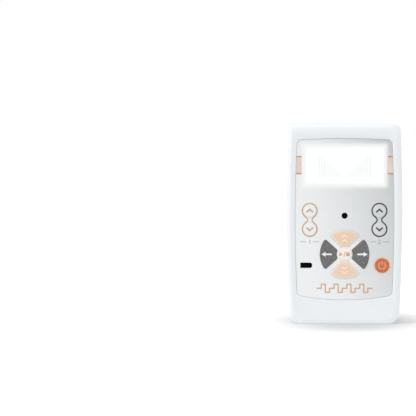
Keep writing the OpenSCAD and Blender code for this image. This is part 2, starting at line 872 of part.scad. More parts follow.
module battery_cells() {
    body_y = contact_t + spring_l;
    color("seagreen") stand() at_cells() {
        along_y([body_y, body_y + cell_l - tip_l - spring_clear], $d = cell_d);
        along_y([body_y, body_y + cell_l - spring_clear], $d = tip_d);
    }
}

// The two end contacts have legs that reach the board
module contact_legs(grow) {
    for (x = [cell_x(0), cell_x(cells - 1)])
        block([x - leg_w / 2 - grow, x + leg_w / 2 + grow], [bay_y1 - contact_t - grow, bay_y1],
            [cell_z, board_z]);
}

module battery_contacts() {
    color("silver") stand() {
        at_cells() for (y = [contact_t / 2, bay_y1 - bay_y0 - contact_t / 2])
            translate([0, y, 0]) cube([contact_size, contact_t, contact_size], center = true);
        contact_legs(0);
    }
}

module battery_springs() {
    count = spring_turns * spring_rings;
    start = contact_t + spring_clear + spring_wire / 2;
    path = [for (i = [0:count]) let (a = 360 * i / spring_rings)
        [spring_r * cos(a), start + spring_pitch * i / spring_rings, spring_r * sin(a)]];
    color("silver") stand() at_cells() tube(path, spring_wire, spring_sides);
}

// Fasteners

module pan_screw(d, head_d, head, length) {
    difference() {
        union() {
            cylinder(d = d, h = length);
            translate([0, 0, -head]) cylinder(d = head_d, h = head);
        }
        for (a = [0, 90]) rotate(a)
            translate([-head_d / 3, -slot_w / 2, -head - 1]) cube([head_d * 2 / 3, slot_w, slot_d + 1]);
    }
}

module casing_screws() {
    color("silver") stand() at_screws()
        translate([0, 0, seam_z - screw_seat])
            pan_screw(screw_d, screw_head_d, head_h, screw_seat + screw_bite);
}

module board_screws() {
    color("silver") stand() at_posts()
        translate([0, 0, board_z])
            pan_screw(post_screw_d, post_head_d, post_head_h, board_t + post_screw_l);
}

// Assembly

front_casing();
rear_casing();
battery_door();
keypad_overlay();
key_spacer();
switch_circuit();
snap_domes();
status_light();
battery_light();
display_window();
lcd_frame();
lcd_glass();
lcd_backlight();
lcd_contact_strips();
main_board();
indicator_leds();
tail_socket();
controller_chip();
driver_chips();
output_transformers();
capacitors();
buzzer();
output_jack(-jack_x);  // output_jack_1
output_jack(jack_x);  // output_jack_2
battery_cells();
battery_contacts();
battery_springs();
casing_screws();
board_screws();
for (key = KEYS) key_pad(key);
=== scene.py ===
import math

import bmesh
import bpy
from mathutils import Matrix, Vector


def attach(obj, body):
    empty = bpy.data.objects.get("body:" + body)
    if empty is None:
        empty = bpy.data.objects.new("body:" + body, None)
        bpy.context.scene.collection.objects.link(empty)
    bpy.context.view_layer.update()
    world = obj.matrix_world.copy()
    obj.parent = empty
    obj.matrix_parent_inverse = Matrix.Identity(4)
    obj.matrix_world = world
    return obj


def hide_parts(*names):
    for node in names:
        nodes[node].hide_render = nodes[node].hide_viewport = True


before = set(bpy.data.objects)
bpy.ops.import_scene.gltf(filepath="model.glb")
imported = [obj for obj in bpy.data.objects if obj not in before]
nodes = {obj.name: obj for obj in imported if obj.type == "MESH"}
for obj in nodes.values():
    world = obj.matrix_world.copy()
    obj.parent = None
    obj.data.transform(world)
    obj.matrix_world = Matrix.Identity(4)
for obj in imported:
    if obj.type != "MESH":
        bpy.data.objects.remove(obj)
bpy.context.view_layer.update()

# Shapes are drawn in millimetres, lying on their back with the face up: x to the right,
# y up the face from the lower end, z out of the face from mid depth. make_piece() stands them up.
MM = 0.001
TINY = 1e-4
SHARP, FLAT = math.radians(32), math.radians(0.05)
STAND = Matrix.Rotation(math.radians(90), 3, "X")

# Casing
BODY_W, BODY_H = 85.0, 148.0
WALL = 2.0
SIDE_BOW, TOP_BOW = 1.9, 0.6
WIDEST_Y = 85.0
TOP_R, BOTTOM_R = 5.0, 9.0
FRONT_Z, SEAM_Z = 17.0, -1.8
RIM_D, RIM_SIDE, RIM_TOP, RIM_BOTTOM = 4.0, 3.2, 7.4, 3.4
CREST_R, CREST_FALL = (6.0, 4.4), 0.45
SEAM_GROOVE = 0.4
LIP_STEP = 1.6
SCREW_PLACES, BOSS_R, SCREW_BORE_R, SCREW_BITE = ((31.5, 9.0), (31.5, 138.9)), 4.0, 1.3, 9.0
POST_PLACES, POST_R, POST_BORE_R, POST_BITE = ((20.0, 10.5), (34.89, 92.3)), 2.75, 1.05, 6.0
BOARD_TOP = 4.3
BOSS_SINK, OVERCUT = 0.1, 1.0
TAIL_Y, TAIL_SLOT = 94.0, (12.6, 2.0)
RIM_STEPS, CREST_STEPS, RECESS_STEPS = 16, 6, 4
CORNER_STEPS, EDGE_CUTS, SOFT_STEPS = 14, 15, 4

# Face panel
PANEL_HW, PANEL_Y0, PANEL_Y1, PANEL_R = 36.3, 17.9, 136.5, 3.0
PANEL_BOW = (1.6, 1.2, 3.4)
PANEL_GAP = 0.15
RECESS_Z, CEILING_Z, FILM_Z = 14.6, 12.8, 16.3
RECESS_EDGE = 0.35

# Display
WINDOW_HW, WINDOW_HH, WINDOW_Y, WINDOW_R = 30.3, 14.9, 116.7, 1.5
WINDOW_LEDGE, PANE_EDGE = 1.0, 0.25

# Keys
KEY_FLANGE_Z, KEY_FLANGE_T, KEY_FLANGE, KEY_TOP = 15.65, 0.3, 0.45, 16.7
KEY_EDGE = 0.3
CHANNEL_X, CHANNEL_UP_Y, CHANNEL_DOWN_Y, CHANNEL_R = 25.6, 83.4, 70.0, 4.9
MENU_Y, MENU_R, MENU_INNER_R, MENU_GAP, MENU_CORNER = 51.4, 18.1, 5.9, 2.2, 1.2
MENU_HALF = math.radians(41.5)
START_R = 4.8
POWER_X, POWER_Y, POWER_R = 27.6, 43.2, 5.2

# Lights and sockets
STATUS_Y, STATUS_R = 79.8, 2.15
BATTERY_LIGHT_X, BATTERY_LIGHT_Y = 28.2, 43.3
BATTERY_LIGHT_W, BATTERY_LIGHT_H, BATTERY_LIGHT_R = 8.5, 3.8, 0.25
LENS_EDGE, GUIDE_EDGE = 0.3, 0.05
GUIDE_R, GUIDE_HOLE_R, GUIDE_Z, LENS_Z = 1.5, 1.6, 6.2, 15.1
JACK_X, JACK_HOLE_R = 20.0, 3.3

# Battery bay
CELLS, CELL_R, CELL_L, CELL_PITCH, CELL_Z = 4, 7.25, 50.45, 14.8, -7.15
TIP_R, TIP_EDGE, BAND_Y0, BAND_Y1 = 2.75, 0.3, 11.0, 13.0
BARE_Y0, BARE_Y1 = 0.12, 48.95
BAY_Y0, BAY_Y1 = 17.1, 73.0
CONTACT_T, SPRING_L, SPRING_R, SPRING_WIRE, SPRING_TURNS = 0.5, 4.4, 3.6, 0.7, 3
SPRING_CLEAR = 0.05

# Printed marks
INK_T = 0.03
DIGIT_SHARE = 0.7
OUTLINE_R, OUTLINE_WAIST, OUTLINE_NECK = 5.45, 1.65, 1.8
LABEL_Y, LABEL_H, LABEL_RULE, LABEL_LINE = 60.6, 3.0, (2.6, 7.0), 0.4
LEVEL_ARROW_W, LEVEL_ARROW_RISE, LEVEL_ARROW_LINE = 2.4, 2.2, 1.15
MENU_ARROW_W, MENU_ARROW_RISE, MENU_ARROW_LINE, MENU_ARROW_OUT = 2.3, 1.7, 0.85, (9.8, 13.3)
SIDE_ARROW_X = 13.2
STRIPE_Y0, STRIPE_Y1, STRIPE_EDGE, STRIPE_START, STRIPE_GAP = 111.2, 122.8, 0.9, 1.3, 0.2
PULSE_Y, PULSE_W, PULSE_H, PULSE_LEAD, PULSE_LINE, PULSES = 26.4, 3.0, 3.0, 3.4, 0.9, 4

# Stage
LAMP_AIM = (0, 0, 0.08)
LAMPS = (("above", (-0.2, -0.6, 1.4), 1.0, 8.0), ("left", (-1.3, -0.25, 0.5), 0.8, 5.0),
         ("right", (1.3, -0.25, 0.5), 0.8, 2.3), ("back", (0.35, 1.3, 0.45), 0.7, 3.5))
FRAME_PX, PHOTO_SCALE = 416, 0.7355
UNIT_PX_X, UNIT_PX_Y = 344.6, 223.5
CAMERA_TILT, CAMERA_AWAY, SENSOR = math.radians(2.0), 4.0, 36


# Mesh helpers

def bevel(bm, geom, width, steps, affect):
    return bmesh.ops.bevel(bm, geom=geom, offset=width, offset_type="OFFSET", segments=steps,
                           profile=0.5, affect=affect, clamp_overlap=True, material=-1)


def move(bm, verts, by):
    bmesh.ops.translate(bm, verts=verts, vec=by)


def turn(bm, verts, degrees, axis="Z"):
    matrix = Matrix.Rotation(math.radians(degrees), 3, axis)
    bmesh.ops.rotate(bm, verts=verts, cent=(0, 0, 0), matrix=matrix)


def corners_of(geom):
    return [g for g in geom if isinstance(g, bmesh.types.BMVert)]


def extrude_up(bm, face, height):
    """Raises a face into a prism and returns the upper face."""
    on_solid = all(len(edge.link_faces) == 2 for edge in face.edges)
    made = bmesh.ops.extrude_face_region(bm, geom=[face])["geom"]
    move(bm, corners_of(made), (0, 0, height))
    if on_solid:
        bmesh.ops.delete(bm, geom=[face], context="FACES_ONLY")
    return next(g for g in made if isinstance(g, bmesh.types.BMFace))


def join_into(bm, other):
    """Adds another bmesh's geometry."""
    mesh = bpy.data.meshes.new("joined")
    other.to_mesh(mesh)
    other.free()
    bm.from_mesh(mesh)
    bpy.data.meshes.remove(mesh)


def shade(bm):
    """Smooth faces that stay crisp along sharp edges."""
    for face in bm.faces:
        face.smooth = True
    for edge in bm.edges:
        edge.smooth = edge.calc_face_angle(math.pi) < SHARP


def link_piece(name, mesh, materials, body, stands_for):
    piece = bpy.data.objects.new(name, mesh)
    bpy.context.scene.collection.objects.link(piece)
    for material in materials:
        mesh.materials.append(material)
    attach(piece, body)
    if stands_for:
        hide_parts(*stands_for)
    return piece


def stand_up(bm):
    bmesh.ops.rotate(bm, verts=bm.verts, cent=(0, 0, 0), matrix=STAND)
    bmesh.ops.scale(bm, verts=bm.verts, vec=(MM, MM, MM))


def make_piece(name, bm, materials, body="casing", stands_for=()):
    """Stands a drawn bmesh up in metres and puts it on its body."""
    bmesh.ops.remove_doubles(bm, verts=bm.verts, dist=TINY)
    bmesh.ops.recalc_face_normals(bm, faces=bm.faces)
    stand_up(bm)
    shade(bm)
    mesh = bpy.data.meshes.new(name)
    bm.to_mesh(mesh)
    bm.free()
    if not isinstance(materials, (list, tuple)):
        materials = [materials]
    return link_piece(name, mesh, materials, body, stands_for)


def even_shading(piece):
    """Soft shading that follows the larger faces and keeps the sharp edges."""
    weighted = piece.modifiers.new("even_shading", "WEIGHTED_NORMAL")
    weighted.keep_sharp = True


def smooth_copy(node, name, material, body):
    """Merged copy of a CAD node with soft shading over its rounded faces."""
    mesh = nodes[node].data.copy()
    mesh.name = name
    mesh.materials.clear()
    if "custom_normal" in mesh.attributes:
        mesh.attributes.remove(mesh.attributes["custom_normal"])
    bm = bmesh.new()
    bm.from_mesh(mesh)
    bmesh.ops.remove_doubles(bm, verts=bm.verts, dist=TINY * MM)
    bmesh.ops.dissolve_limit(bm, angle_limit=FLAT, verts=bm.verts, edges=bm.edges,
                             use_dissolve_boundaries=False, delimit={"NORMAL"})
    shade(bm)
    bm.to_mesh(mesh)
    bm.free()
    even_shading(link_piece(name, mesh, [material], body, (node,)))


# Outlines

def rounded_face(half_w, y0, y1, r0, r1, bow=(0, 0, 0), z=0.0, lean=0.0, cuts=EDGE_CUTS):
    """Rounded rectangle as one face, with edges that bow outwards; lean lifts the widest point."""
    bm = bmesh.new()
    bmesh.ops.create_grid(bm, x_segments=1, y_segments=1, size=0.5)
    bmesh.ops.scale(bm, verts=bm.verts, vec=(2 * half_w, y1 - y0, 1))
    move(bm, bm.verts, (0, (y0 + y1) / 2, z))
    for y, r in ((y0, r0), (y1, r1)):
        bevel(bm, [v for v in bm.verts if abs(v.co.y - y) < TINY], r, CORNER_STEPS, "VERTICES")
    if cuts:
        straight = sorted(bm.edges, key=lambda e: -e.calc_length())[:4]
        bmesh.ops.subdivide_edges(bm, edges=straight, cuts=cuts)
    side, top, bottom = bow
    for v in bm.verts:
        along = (2 * v.co.y - y0 - y1) / (y1 - y0)
        across = v.co.x / half_w
        v.co.x -= side * across * (along - lean) ** 2
        v.co.y += (-top if along > 0 else bottom) * across * across * along * along
    return bm


def ring(*args, **settings):
    """Outline of a rounded rectangle as a bare loop of edges."""
    bm = rounded_face(*args, **settings)
    bmesh.ops.delete(bm, geom=bm.faces[:], context="FACES_ONLY")
    return bm


def bridge_rings(rings, closed):
    """Skin through a row of loops; a closed row joins its last loop to its first."""
    bm = bmesh.new()
    after = rings[1:] + (rings[:1] if closed else [])
    for one, two in zip(rings, after):
        band = bmesh.new()
        join_into(band, one.copy())
        join_into(band, two.copy())
        bmesh.ops.bridge_loops(band, edges=band.edges[:])
        join_into(bm, band)
    return bm


def casing_shape(side, top, bottom, r0, r1):
    """Measures of an outline inside the casing's own: half width, ends, corners, bows and lean."""
    lean = 2 * WIDEST_Y / BODY_H - 1
    return (BODY_W / 2 - side, bottom, BODY_H - top, r0, r1, SIDE_BOW, TOP_BOW, 0.0, lean)


def panel_shape(grow):
    corner = PANEL_R + grow
    return (PANEL_HW + grow, PANEL_Y0 - grow, PANEL_Y1 + grow, corner, corner, *PANEL_BOW, 0.0)


def between(one, two, share):
    return [a + share * (b - a) for a, b in zip(one, two)]


def shape_loop(shape, z):
    return ring(*shape[:5], tuple(shape[5:8]), z, lean=shape[8])


def inset_loop(inset, z):
    return shape_loop(casing_shape(inset, inset, inset, BOTTOM_R - inset, TOP_R - inset), z)


def panel_loop(grow, z):
    return shape_loop(panel_shape(grow), z)


def window_loop(grow, z):
    return ring(WINDOW_HW + grow, WINDOW_Y - WINDOW_HH - grow, WINDOW_Y + WINDOW_HH + grow,
                WINDOW_R + grow, WINDOW_R + grow, (0, 0, 0), z)


def disc(radius, x, y, z, segments=64):
    bm = bmesh.new()
    bmesh.ops.create_circle(bm, cap_ends=True, segments=segments, radius=radius)
    move(bm, bm.verts, (x, y, z))
    return bm


def flat_shape(points, z, corner=0.0):
    """One face through a few points, with rounded corners."""
    bm = bmesh.new()
    bm.faces.new([bm.verts.new((x, y, z)) for x, y in points])
    if corner:
        bevel(bm, bm.verts[:], corner, SOFT_STEPS, "VERTICES")
    return bm


# Materials

def add_node(tree, kind, **inputs):
    node = tree.nodes.new("ShaderNode" + kind)
    for name, value in inputs.items():
        node.inputs[name.replace("_", " ")].default_value = value
    return node


def new_material(name, rough, metallic=0.0):
    material = bpy.data.materials.new(name)
    material.use_nodes = True
    tree = material.node_tree
    shader = tree.nodes["Principled BSDF"]
    shader.inputs["Roughness"].default_value = rough
    shader.inputs["Metallic"].default_value = metallic
    return material, tree, shader


def object_point(tree):
    return tree.nodes.new("ShaderNodeTexCoord").outputs["Object"]


def noise(tree, point, scale, detail=3.0):
    made = add_node(tree, "TexNoise", Scale=scale, Detail=detail, Roughness=0.55)
    tree.links.new(point, made.inputs["Vector"])
    return made.outputs["Fac"]


def tint(colour, factor):
    return tuple(min(c * factor, 1.0) for c in colour) + (1.0,)


def vary(tree, fac, colour, spread):
    """Colour that drifts a little either way with a noise."""
    ramp = tree.nodes.new("ShaderNodeValToRGB")
    ramp.color_ramp.elements[0].position = 0.3
    ramp.color_ramp.elements[1].position = 0.7
    ramp.color_ramp.elements[0].color = tint(colour, 1 - spread)
    ramp.color_ramp.elements[1].color = tint(colour, 1 + spread)
    tree.links.new(fac, ramp.inputs["Fac"])
    return ramp.outputs["Color"]


def spread_rough(tree, shader, fac, low, high):
    ranged = add_node(tree, "MapRange", To_Min=low, To_Max=high)
    tree.links.new(fac, ranged.inputs["Value"])
    tree.links.new(ranged.outputs["Result"], shader.inputs["Roughness"])


def emboss(tree, shader, fac, strength, depth):
    bump = add_node(tree, "Bump", Strength=strength, Distance=depth)
    tree.links.new(fac, bump.inputs["Height"])
    tree.links.new(bump.outputs["Normal"], shader.inputs["Normal"])


def grained(name, colour, rough, grain, strength, depth=0.00002, spread=0.02, coat=0.0):
    """Moulded or printed finish: a soft drift of colour over a fine even grain."""
    material, tree, shader = new_material(name, rough)
    point = object_point(tree)
    drift = noise(tree, point, 60.0)
    fine = noise(tree, point, grain, 4.0)
    tree.links.new(vary(tree, drift, colour, spread), shader.inputs["Base Color"])
    spread_rough(tree, shader, fine, max(rough - 0.06, 0.02), rough + 0.06)
    emboss(tree, shader, fine, strength, depth)
    shader.inputs["Coat Weight"].default_value = coat
    shader.inputs["Coat Roughness"].default_value = 0.08
    return material


def ink(name, colour):
    return grained(name, colour, 0.5, 6000.0, 0.1, 0.00001, 0.05)


def brushed(name, colour, rough, stretch):
    """Rolled or plated metal with fine lines drawn out along one direction."""
    material, tree, shader = new_material(name, rough, 1.0)
    mapping = add_node(tree, "Mapping", Scale=stretch)
    tree.links.new(object_point(tree), mapping.inputs["Vector"])
    lines = noise(tree, mapping.outputs["Vector"], 1.0, 5.0)
    tree.links.new(vary(tree, lines, colour, 0.08), shader.inputs["Base Color"])
    spread_rough(tree, shader, lines, rough - 0.08, rough + 0.12)
    emboss(tree, shader, lines, 0.15, 0.00002)
    return material


def math_node(tree, operation, one, two=None):
    made = tree.nodes.new("ShaderNodeMath")
    made.operation = operation
    for i, value in enumerate((one, two)):
        if value is None:
            continue
        if isinstance(value, (int, float)):
            made.inputs[i].default_value = value
        else:
            tree.links.new(value, made.inputs[i])
    return made.outputs["Value"]


def split_mm(tree, x0, z0):
    """Face coordinates in millimetres from a point: across, and up."""
    parts = tree.nodes.new("ShaderNodeSeparateXYZ")
    tree.links.new(object_point(tree), parts.inputs["Vector"])
    scaled = [math_node(tree, "MULTIPLY", parts.outputs[way], 1 / MM) for way in "XZ"]
    return [math_node(tree, "SUBTRACT", value, start) for value, start in zip(scaled, (x0, z0))]


def length(tree, across, up):
    squares = [math_node(tree, "MULTIPLY", value, value) for value in (across, up)]
    return math_node(tree, "SQRT", math_node(tree, "ADD", *squares))


def soft_step(tree, value, start, end):
    ranged = add_node(tree, "MapRange", From_Min=start, From_Max=end)
    ranged.interpolation_type = "SMOOTHSTEP"
    tree.links.new(value, ranged.inputs["Value"])
    return ranged.outputs["Result"]


def mix_colours(tree, fac, one, two):
    mix = tree.nodes.new("ShaderNodeMix")
    mix.data_type = "RGBA"
    tree.links.new(fac, mix.inputs["Factor"])
    for socket, value in ((mix.inputs["A"], one), (mix.inputs["B"], two)):
        if isinstance(value, tuple):
            socket.default_value = value
        else:
            tree.links.new(value, socket)
    return mix.outputs["Result"]


# Colours and fades of the face print, and of the shade painted across the film; a fade runs between
# two distances in millimetres
FILM = (0.875, 0.887, 0.881)
FILM_SHADE = (0.485, 0.50, 0.50)
FILM_WHITE = (0.95, 0.95, 0.945)
WARM_WHITE = (0.95, 0.905, 0.86)
PEACH = (0.862, 0.625, 0.447)
HALO = (0.78, 0.59, 0.47)
PRINT_ROUGH = 0.48
# Painted shade across the film: the height it is measured from, how much it climbs with height, and
# its fade
SHADE_Y, SHADE_RISE, SHADE_FADE = 78, 0.26, (-42.0, 90.0)
BORDER_START, BORDER_FADE = 1.0, (4.4, 0.1)
PAD_FADE, HALO_FADE = (16.5, 6.5), (7.4, 5.3)
SECTOR_FADE, SECTOR_INNER_FADE = (-0.6, 2.2), (-0.3, 1.2)


def film_colour(tree):
    """Silver grey print with painted shade that darkens it towards the upper right."""
    across, up = split_mm(tree, 0, SHADE_Y)
    painted_shade = math_node(tree, "ADD", across, math_node(tree, "MULTIPLY", up, SHADE_RISE))
    return mix_colours(tree, soft_step(tree, painted_shade, *SHADE_FADE), FILM + (1,), FILM_SHADE + (1,))


def film_grain(tree, shader):
    fine = noise(tree, object_point(tree), 5200.0, 2.0)
    spread_rough(tree, shader, fine, 0.42, 0.56)
    emboss(tree, shader, fine, 0.12, 0.00001)


def distance_mm(tree, x0, z0):
    return length(tree, *split_mm(tree, x0, z0))


def past_box(tree, across, up, half_w, half_h):
    """Distance outside an upright box, round its corners."""
    past = []
    for value, half in ((across, half_w), (up, half_h)):
        over = math_node(tree, "SUBTRACT", math_node(tree, "ABSOLUTE", value), half)
        past.append(math_node(tree, "MAXIMUM", over, 0.0))
    return length(tree, *past)


def face_film():
    """Printed film over the painted shade: white border round the window, pale menu pad and the
    power key's halo.
    """
    material, tree, shader = new_material("face_film", PRINT_ROUGH)
    across, up = split_mm(tree, 0, WINDOW_Y)
    past = past_box(tree, across, up, WINDOW_HW - BORDER_START, WINDOW_HH - BORDER_START)
    border = soft_step(tree, past, *BORDER_FADE)
    middle = soft_step(tree, distance_mm(tree, 0, MENU_Y), *PAD_FADE)
    halo = soft_step(tree, distance_mm(tree, POWER_X, POWER_Y), *HALO_FADE)
    colour = mix_colours(tree, border, film_colour(tree), FILM_WHITE + (1,))
    colour = mix_colours(tree, middle, colour, WARM_WHITE + (1,))
    colour = mix_colours(tree, halo, colour, HALO + (1,))
    tree.links.new(colour, shader.inputs["Base Color"])
    film_grain(tree, shader)
    return material


def pale_key():
    material, tree, shader = new_material("pale_key_film", PRINT_ROUGH)
    # Same print and painted shade as the film round the key
    tree.links.new(film_colour(tree), shader.inputs["Base Color"])
    film_grain(tree, shader)
    return material


def speckled(name, colour, spread):
    """Printed film with a fine even speckle."""
    material, tree, shader = new_material(name, PRINT_ROUGH)
    flecks = noise(tree, object_point(tree), 850.0, 3.0)
    tree.links.new(vary(tree, flecks, colour, spread), shader.inputs["Base Color"])
    film_grain(tree, shader)
    return material


def feathered_sector(name, colour):
    """Print that fades out towards the edges of an upper or lower menu key."""
    material, tree, shader = new_material(name, PRINT_ROUGH)
    across, up = [math_node(tree, "ABSOLUTE", value) for value in split_mm(tree, 0, MENU_Y)]
    radius = length(tree, across, up)
    outer = math_node(tree, "SUBTRACT", MENU_R, radius)
    inner = math_node(tree, "SUBTRACT", radius, MENU_INNER_R)
    slant = math_node(tree, "SUBTRACT", math_node(tree, "MULTIPLY", up, math.sin(MENU_HALF)),
                      math_node(tree, "MULTIPLY", across, math.cos(MENU_HALF)))
    side = math_node(tree, "SUBTRACT", slant, MENU_GAP / 2)
    fade = soft_step(tree, inner, *SECTOR_INNER_FADE)
    for value in (outer, side):
        fade = math_node(tree, "MULTIPLY", fade, soft_step(tree, value, *SECTOR_FADE))
    mixed = mix_colours(tree, fade, film_colour(tree), colour + (1,))
    tree.links.new(mixed, shader.inputs["Base Color"])
    film_grain(tree, shader)
    return material


def smoked_lens():
    material, tree, shader = new_material("black_lens", 0.16)
    haze = noise(tree, object_point(tree), 900.0, 2.0)
    tree.links.new(vary(tree, haze, (0.0016, 0.0016, 0.0018), 0.3), shader.inputs["Base Color"])
    spread_rough(tree, shader, haze, 0.12, 0.20)
    shader.inputs["Specular IOR Level"].default_value = 0.03
    return material


def clear_window():
    material, tree, shader = new_material("clear_window", 0.03)
    shader.inputs["Base Color"].default_value = (0.985, 0.99, 0.99, 1)
    shader.inputs["Transmission Weight"].default_value = 1.0
    shader.inputs["IOR"].default_value = 1.49
    haze = noise(tree, object_point(tree), 900.0, 2.0)
    spread_rough(tree, shader, haze, 0.02, 0.05)
    return material


def level_bars(tree, across, up):
    """Two rows of upright bars that grow towards the sides, one for each channel."""
    start, pitch, width, count, foot, step = 3.2, 2.1, 0.68, 8, -8.6, 1.8
    out = math_node(tree, "SUBTRACT", math_node(tree, "ABSOLUTE", across), start)
    place = math_node(tree, "DIVIDE", out, pitch)
    number = math_node(tree, "ADD", math_node(tree, "FLOOR", place), 2)
    top = math_node(tree, "ADD", math_node(tree, "MULTIPLY", number, step), foot)
    tests = (math_node(tree, "GREATER_THAN", place, 0.0),
             math_node(tree, "LESS_THAN", place, float(count)),
             math_node(tree, "LESS_THAN", math_node(tree, "FRACT", place), width),
             math_node(tree, "GREATER_THAN", up, foot),
             math_node(tree, "LESS_THAN", up, top))
    bars = tests[0]
    for test in tests[1:]:
        bars = math_node(tree, "MULTIPLY", bars, test)
    return bars


def lit_display():
    """White glow behind a faint grid of dots, with faint level bars."""
    material, tree, shader = new_material("lit_display", 0.15)
    dot, gap = 0.23, 0.05
    across, up = split_mm(tree, 0, WINDOW_Y)
    lines = [soft_step(tree, math_node(tree, "PINGPONG", value, dot), 0.0, gap)
             for value in (across, up)]
    dots = math_node(tree, "MULTIPLY", *lines)
    glow = mix_colours(tree, dots, (0.975, 0.975, 0.975, 1), (1, 1, 1, 1))
    glow = mix_colours(tree, level_bars(tree, across, up), glow, (0.94, 0.94, 0.94, 1))
    tree.links.new(glow, shader.inputs["Emission Color"])
    shader.inputs["Emission Strength"].default_value = 0.93
    shader.inputs["Base Color"].default_value = (0.06, 0.065, 0.07, 1)
    return material


def circuit_board():
    """Green solder mask with a fine net of tracks."""
    material, tree, shader = new_material("board_mask", 0.4)
    brick = add_node(tree, "TexBrick", Scale=180.0, Mortar_Size=0.03, Mortar=(0.05, 0.30, 0.13, 1),
                     Color1=(0.02, 0.16, 0.07, 1), Color2=(0.02, 0.18, 0.08, 1))
    mapping = add_node(tree, "Mapping", Rotation=(math.radians(90), 0, 0))
    tree.links.new(object_point(tree), mapping.inputs["Vector"])
    tree.links.new(mapping.outputs["Vector"], brick.inputs["Vector"])
    tree.links.new(brick.outputs["Color"], shader.inputs["Base Color"])
    emboss(tree, shader, brick.outputs["Fac"], 0.2, 0.00003)
    return material


casing_white = grained("casing_white", (0.845, 0.868, 0.882), 0.42, 2600.0, 0.10, spread=0.008)
film = face_film()
key_film = pale_key()
white_film = speckled("white_key_film", (0.95, 0.885, 0.825), 0.01)
peach_film = feathered_sector("peach_key_film", PEACH)
grey_film = speckled("grey_key_film", (0.141, 0.140, 0.141), 0.42)
orange_film = speckled("orange_key_film", (0.59, 0.145, 0.043), 0.18)
black_lens = smoked_lens()
tan_ink = ink("tan_ink", (0.64, 0.38, 0.21))
dark_ink = ink("dark_ink", (0.036, 0.036, 0.038))
grey_ink = ink("grey_ink", (0.30, 0.30, 0.31))
white_ink = ink("white_ink", (0.88, 0.88, 0.88))
cream_ink = ink("cream_ink", (0.94, 0.82, 0.70))
peach_ink = ink("peach_ink", (0.79, 0.635, 0.525))
copper_ink = ink("copper_ink", (0.52, 0.24, 0.14))
amber_ink = ink("amber_ink", (0.80, 0.40, 0.25))
window_clear = clear_window()
display_lit = lit_display()
socket_black = grained("socket_black", (0.016, 0.016, 0.017), 0.32, 2400.0, 0.12)
zinc = brushed("screw_zinc", (0.62, 0.63, 0.65), 0.32, (900, 200, 900))
nickel = brushed("contact_nickel", (0.72, 0.71, 0.67), 0.28, (300, 2600, 300))
steel = brushed("rolled_steel", (0.66, 0.67, 0.68), 0.3, (300, 300, 2600))
jacket = grained("cell_jacket", (0.045, 0.17, 0.10), 0.24, 1500.0, 0.05, spread=0.05, coat=0.6)
jacket_band = grained("cell_band", (0.62, 0.63, 0.62), 0.26, 1500.0, 0.05, spread=0.03, coat=0.6)
green_sheet = grained("circuit_film", (0.34, 0.50, 0.40), 0.4, 1800.0, 0.1)
milky = grained("milky_plastic", (0.82, 0.80, 0.74), 0.4, 1800.0, 0.1)
strip_rubber = grained("strip_rubber", (0.10, 0.11, 0.13), 0.7, 1500.0, 0.3)
chip_black = grained("chip_black", (0.02, 0.02, 0.022), 0.55, 2200.0, 0.3)
coil_gold = grained("wound_core", (0.32, 0.20, 0.06), 0.45, 700.0, 0.3, 0.0001, 0.2)
sleeve_blue = grained("capacitor_sleeve", (0.02, 0.03, 0.10), 0.25, 1500.0, 0.1)
board_green = circuit_board()

# Finishes of the CAD pieces whose own shape shows
NODE_FINISH = {
    "keypad_overlay": film, "key_spacer": film, "switch_circuit": green_sheet,
    "snap_domes": steel, "lcd_frame": steel, "lcd_glass": display_lit, "lcd_backlight": milky,
    "lcd_contact_strips": strip_rubber, "main_board": board_green, "indicator_leds": milky,
    "tail_socket": milky, "controller_chip": chip_black, "driver_chips": chip_black,
    "output_transformers": coil_gold, "capacitors": sleeve_blue, "buzzer": chip_black,
    "output_jack_1": socket_black, "output_jack_2": socket_black, "battery_contacts": nickel,
    "casing_screws": zinc, "board_screws": zinc,
}
for node, finish in NODE_FINISH.items():
    nodes[node].data.materials.clear()
    nodes[node].data.materials.append(finish)


# Casing

def finished_mesh(thing):
    """New mesh of an object with its modifiers or its curve worked out."""
    worked_out = thing.evaluated_get(bpy.context.evaluated_depsgraph_get())
    return bpy.data.meshes.new_from_object(worked_out)


def combine(piece, bm, operation):
    """Adds a drawn shape to a finished piece, or takes it away."""
    stand_up(bm)
    mesh = bpy.data.meshes.new("shape")
    bm.to_mesh(mesh)
    bm.free()
    shape = bpy.data.objects.new("shape", mesh)
    bpy.context.scene.collection.objects.link(shape)
    step = piece.modifiers.new("combine", "BOOLEAN")
    step.operation = operation
    step.solver = "EXACT"
    step.object = shape
    after = finished_mesh(piece)
    piece.modifiers.clear()
    before = piece.data
    after.name = piece.name
    piece.data = after
    bpy.data.meshes.remove(before)
    bpy.data.objects.remove(shape)
    bpy.data.meshes.remove(mesh)


def rod(bm, radius, depth, segments=48):
    """Upright rod round the origin."""
    return bmesh.ops.create_cone(bm, cap_ends=True, segments=segments, radius1=radius,
                                 radius2=radius, depth=depth)["verts"]


def pillar(bm, radius, x, y, z0, z1):
    move(bm, rod(bm, radius, z1 - z0), (x, y, (z0 + z1) / 2))


def mirrored(places):
    return [(side * x, y) for x, y in places for side in (-1, 1)]


def inner_bosses():
    """Pillars for the casing screws and posts for the board."""
    bm = bmesh.new()
    for x, y in mirrored(SCREW_PLACES):
        pillar(bm, BOSS_R, x, y, SEAM_Z, CEILING_Z + BOSS_SINK)
    for x, y in mirrored(POST_PLACES):
        pillar(bm, POST_R, x, y, BOARD_TOP, CEILING_Z + BOSS_SINK)
    return bm


